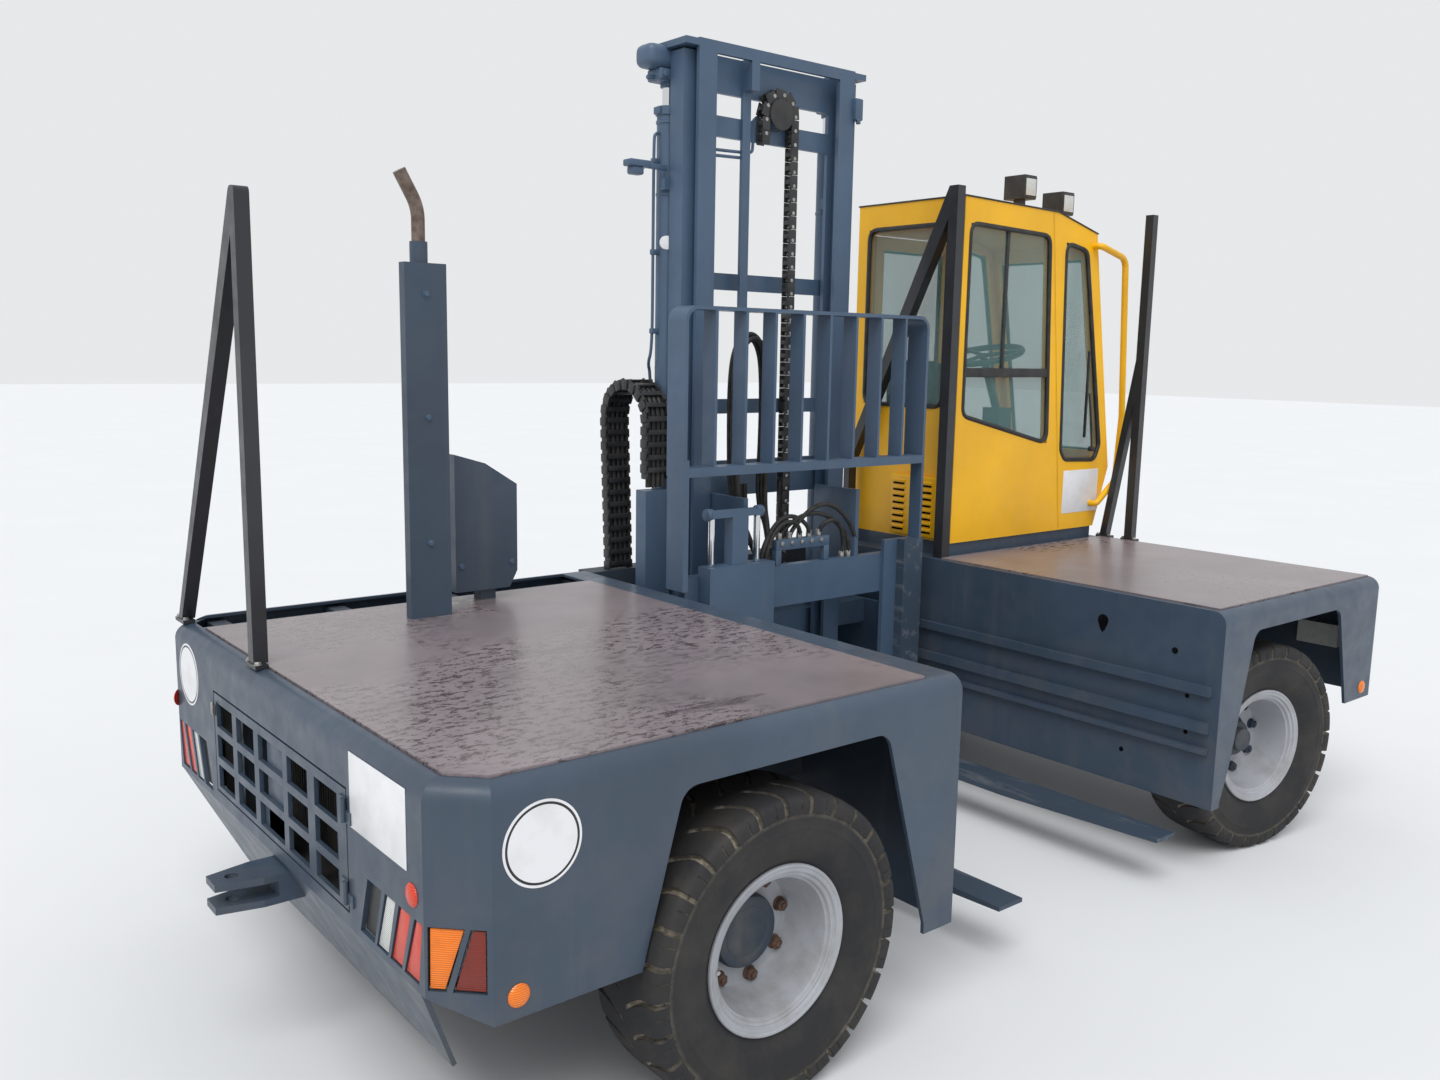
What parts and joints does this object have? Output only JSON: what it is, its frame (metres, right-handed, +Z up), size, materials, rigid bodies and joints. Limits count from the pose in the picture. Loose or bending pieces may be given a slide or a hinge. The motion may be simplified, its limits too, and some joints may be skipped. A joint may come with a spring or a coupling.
{
  "type": "side loader forklift",
  "caption": "Side-loading forklift with two load decks, a traversing mast in the well between them, a side cab and pneumatic tyres on deep-dished rims.",
  "frame": {"origin": "on the ground under the middle of the machine's length and width", "axes": "+X to the machine's front along its length, +Y to its left, +Z up; the load is taken from the right"},
  "size_m": [4.6798, 2.146, 3.1399],
  "materials": {
    "board": "dark brown coated deck board, wet in places",
    "body_grey": "slate-grey paint over welded plate",
    "cab_yellow": "glossy warm-yellow paint",
    "chrome": "polished rod",
    "engine": "oily cast iron",
    "frame_grey": "dirty slate-grey paint",
    "glass": "clear pane",
    "hose": "black rubber hose",
    "lamp": "lamp lenses",
    "mast_grey": "greasy slate-grey paint with bare running faces",
    "plastic": "black plastic",
    "rim_grey": "dusty grey paint",
    "seat": "dark seat cloth",
    "steel": "worn steel",
    "tyre": "black rubber, dusty"
  },
  "bodies": {
    "chassis": {"rear_body": "body_grey", "front_body": "body_grey", "rear_deck_board": "board", "front_deck_board": "board", "rear_frame": "frame_grey", "front_frame": "frame_grey", "side_girder": "frame_grey", "mast_rails": "frame_grey", "engine_block": "engine", "rear_axle": "frame_grey", "front_axle": "frame_grey", "tow_hitch": "body_grey", "rear_lamps": "lamp", "head_lamps": "glass", "rear_guard": "body_grey", "cab_guard": "body_grey", "front_guard": "body_grey", "exhaust": "frame_grey", "air_filter": "plastic", "cab_shell": "cab_yellow", "cab_plinth": "body_grey", "cab_glass": "glass", "driver_seat": "seat", "steering_column": "plastic", "work_lamps": "plastic", "grab_handle": "cab_yellow", "hose_chain": "plastic"},
    "grille_door": {"grille_door": "body_grey"},
    "cab_door": {"cab_door": "cab_yellow", "cab_door_glass": "glass"},
    "knuckle_right": {"knuckle_right": "frame_grey"},
    "knuckle_left": {"knuckle_left": "frame_grey"},
    "wheel_rear_right": {"tyre_rear_right": "tyre", "rim_rear_right": "rim_grey"},
    "wheel_rear_left": {"tyre_rear_left": "tyre", "rim_rear_left": "rim_grey"},
    "wheel_front_right": {"tyre_front_right": "tyre", "rim_front_right": "rim_grey"},
    "wheel_front_left": {"tyre_front_left": "tyre", "rim_front_left": "rim_grey"},
    "mast": {"mast_slide": "frame_grey", "mast_outer": "mast_grey"},
    "mast_inner": {"mast_inner": "mast_grey", "lift_rods": "chrome", "mast_hoses": "hose", "mast_pulley": "mast_grey"},
    "carriage": {"fork_carriage": "mast_grey", "forks": "steel", "fork_positioner": "mast_grey", "backrest": "mast_grey", "carriage_hoses": "hose"}
  },
  "joints": [
    {"name": "roll_rear_right", "type": "hinge", "parent": "chassis", "child": "wheel_rear_right", "pos_m": [-1.235, -0.938, 0.42], "axis": [0, 1, 0], "continuous": true},
    {"name": "roll_rear_left", "type": "hinge", "parent": "chassis", "child": "wheel_rear_left", "pos_m": [-1.235, 0.938, 0.42], "axis": [0, 1, 0], "continuous": true},
    {"name": "roll_front_right", "type": "hinge", "parent": "knuckle_right", "child": "wheel_front_right", "pos_m": [1.46396, -0.85077, 0.42], "axis": [0.1702, 0.9854, 0], "continuous": true},
    {"name": "roll_front_left", "type": "hinge", "parent": "knuckle_left", "child": "wheel_front_left", "pos_m": [1.51604, 0.85077, 0.42], "axis": [0.1702, 0.9854, 0], "continuous": true},
    {"name": "steer_right", "type": "hinge", "parent": "chassis", "child": "knuckle_right", "pos_m": [1.49, -0.7, 0.42], "axis": [0, 0, 1], "range_deg": [-30, 50]},
    {"name": "steer_left", "type": "hinge", "parent": "chassis", "child": "knuckle_left", "pos_m": [1.49, 0.7, 0.42], "axis": [0, 0, 1], "range_deg": [-30, 50]},
    {"name": "mast_traverse", "type": "slide", "parent": "chassis", "child": "mast", "axis": [0, -1, 0], "range_m": [0, 1.25]},
    {"name": "mast_lift", "type": "slide", "parent": "mast", "child": "mast_inner", "axis": [0, 0, 1], "range_m": [0, 1.65]},
    {"name": "carriage_lift", "type": "slide", "parent": "mast_inner", "child": "carriage", "axis": [0, 0, 1], "range_m": [0, 1.65]},
    {"name": "cab_door_swing", "type": "hinge", "parent": "chassis", "child": "cab_door", "pos_m": [1.716, 1.042, 1.8], "axis": [0, 0, -1], "range_deg": [0, 80]},
    {"name": "grille_swing", "type": "hinge", "parent": "chassis", "child": "grille_door", "pos_m": [-2.168, -0.507, 0.745], "axis": [0, 0, 1], "range_deg": [0, 100]}
  ],
  "couplings": [
    {"joint": "steer_left", "follows": "steer_right", "ratio": 1},
    {"joint": "carriage_lift", "follows": "mast_lift", "ratio": 1}
  ]
}
